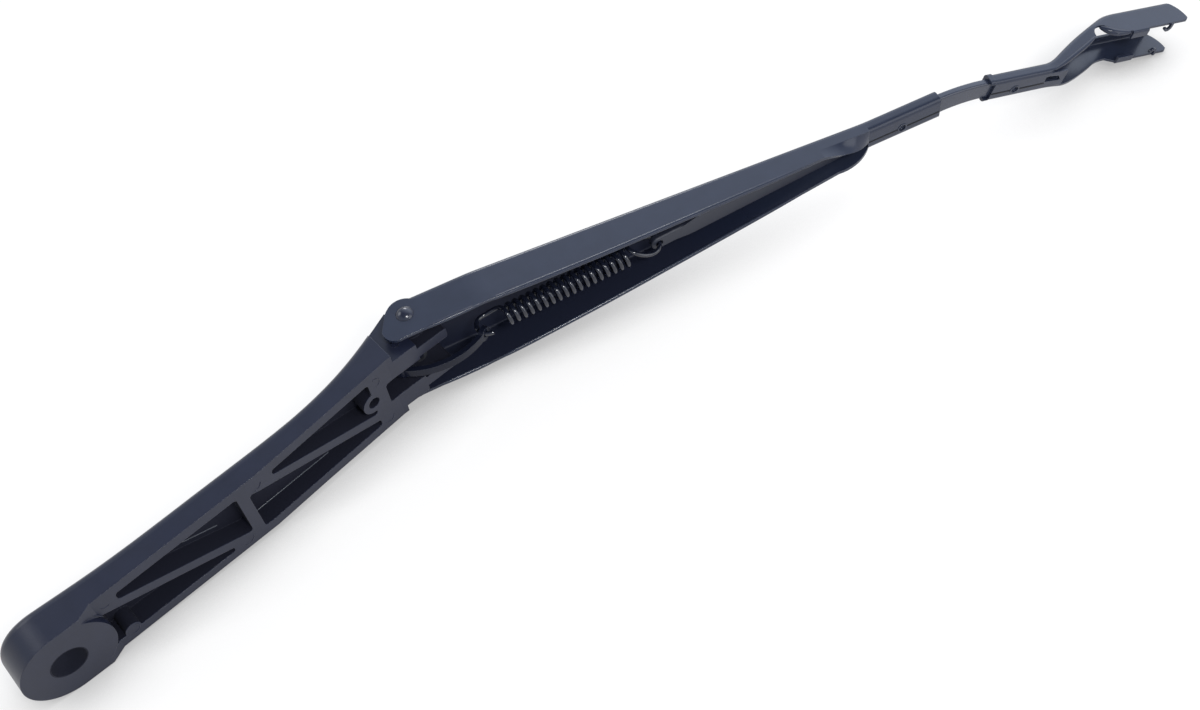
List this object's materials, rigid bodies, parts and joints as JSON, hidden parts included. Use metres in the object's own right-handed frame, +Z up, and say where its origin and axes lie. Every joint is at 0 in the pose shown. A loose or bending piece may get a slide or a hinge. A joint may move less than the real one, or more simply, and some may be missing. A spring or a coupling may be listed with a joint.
{
  "type": "wiper arm",
  "caption": "Sprung wiper arm with a ribbed cast head, folded channel, tension spring and link, flat bar and sheet-metal blade fork.",
  "frame": {"origin": "axis of the spindle bore on the underside face of the boss", "axes": "+Y along the spindle bore towards the arm's top side, +X from the spindle towards the blade fork, +Z up from the floor that the arm lies on"},
  "size_m": [0.501, 0.0952, 0.0412],
  "materials": {
    "casting": "satin black coat",
    "sheet": "semi-gloss black coat",
    "wire": "black coat",
    "pin": "black coat",
    "bush": "matte"
  },
  "bodies": {
    "head": {"head": "casting", "bush_upper": "bush", "bush_lower": "bush", "link_pin": "pin"},
    "arm": {"channel": "sheet", "hinge_rivet": "pin", "bar": "sheet", "fork": "sheet"},
    "link": {"link": "sheet", "spring": "wire"}
  },
  "joints": [
    {"name": "arm_hinge", "type": "hinge", "parent": "head", "child": "arm", "pos_m": [0.1519, 0.0198, 0.0056], "axis": [-0.0368, 0, 0.9993], "range_deg": [0, 55], "stiffness_Nm_per_rad": 1, "springref_deg": -85.94, "deforming": ["spring"]},
    {"name": "link_pivot", "type": "hinge", "parent": "head", "child": "link", "pos_m": [0.1429, 0.01528, 0.00526], "axis": [-0.0368, 0, 0.9993], "range_deg": [0, 50.2]}
  ],
  "couplings": [
    {"joint": "link_pivot", "follows": "arm_hinge", "ratio": 0.91}
  ]
}
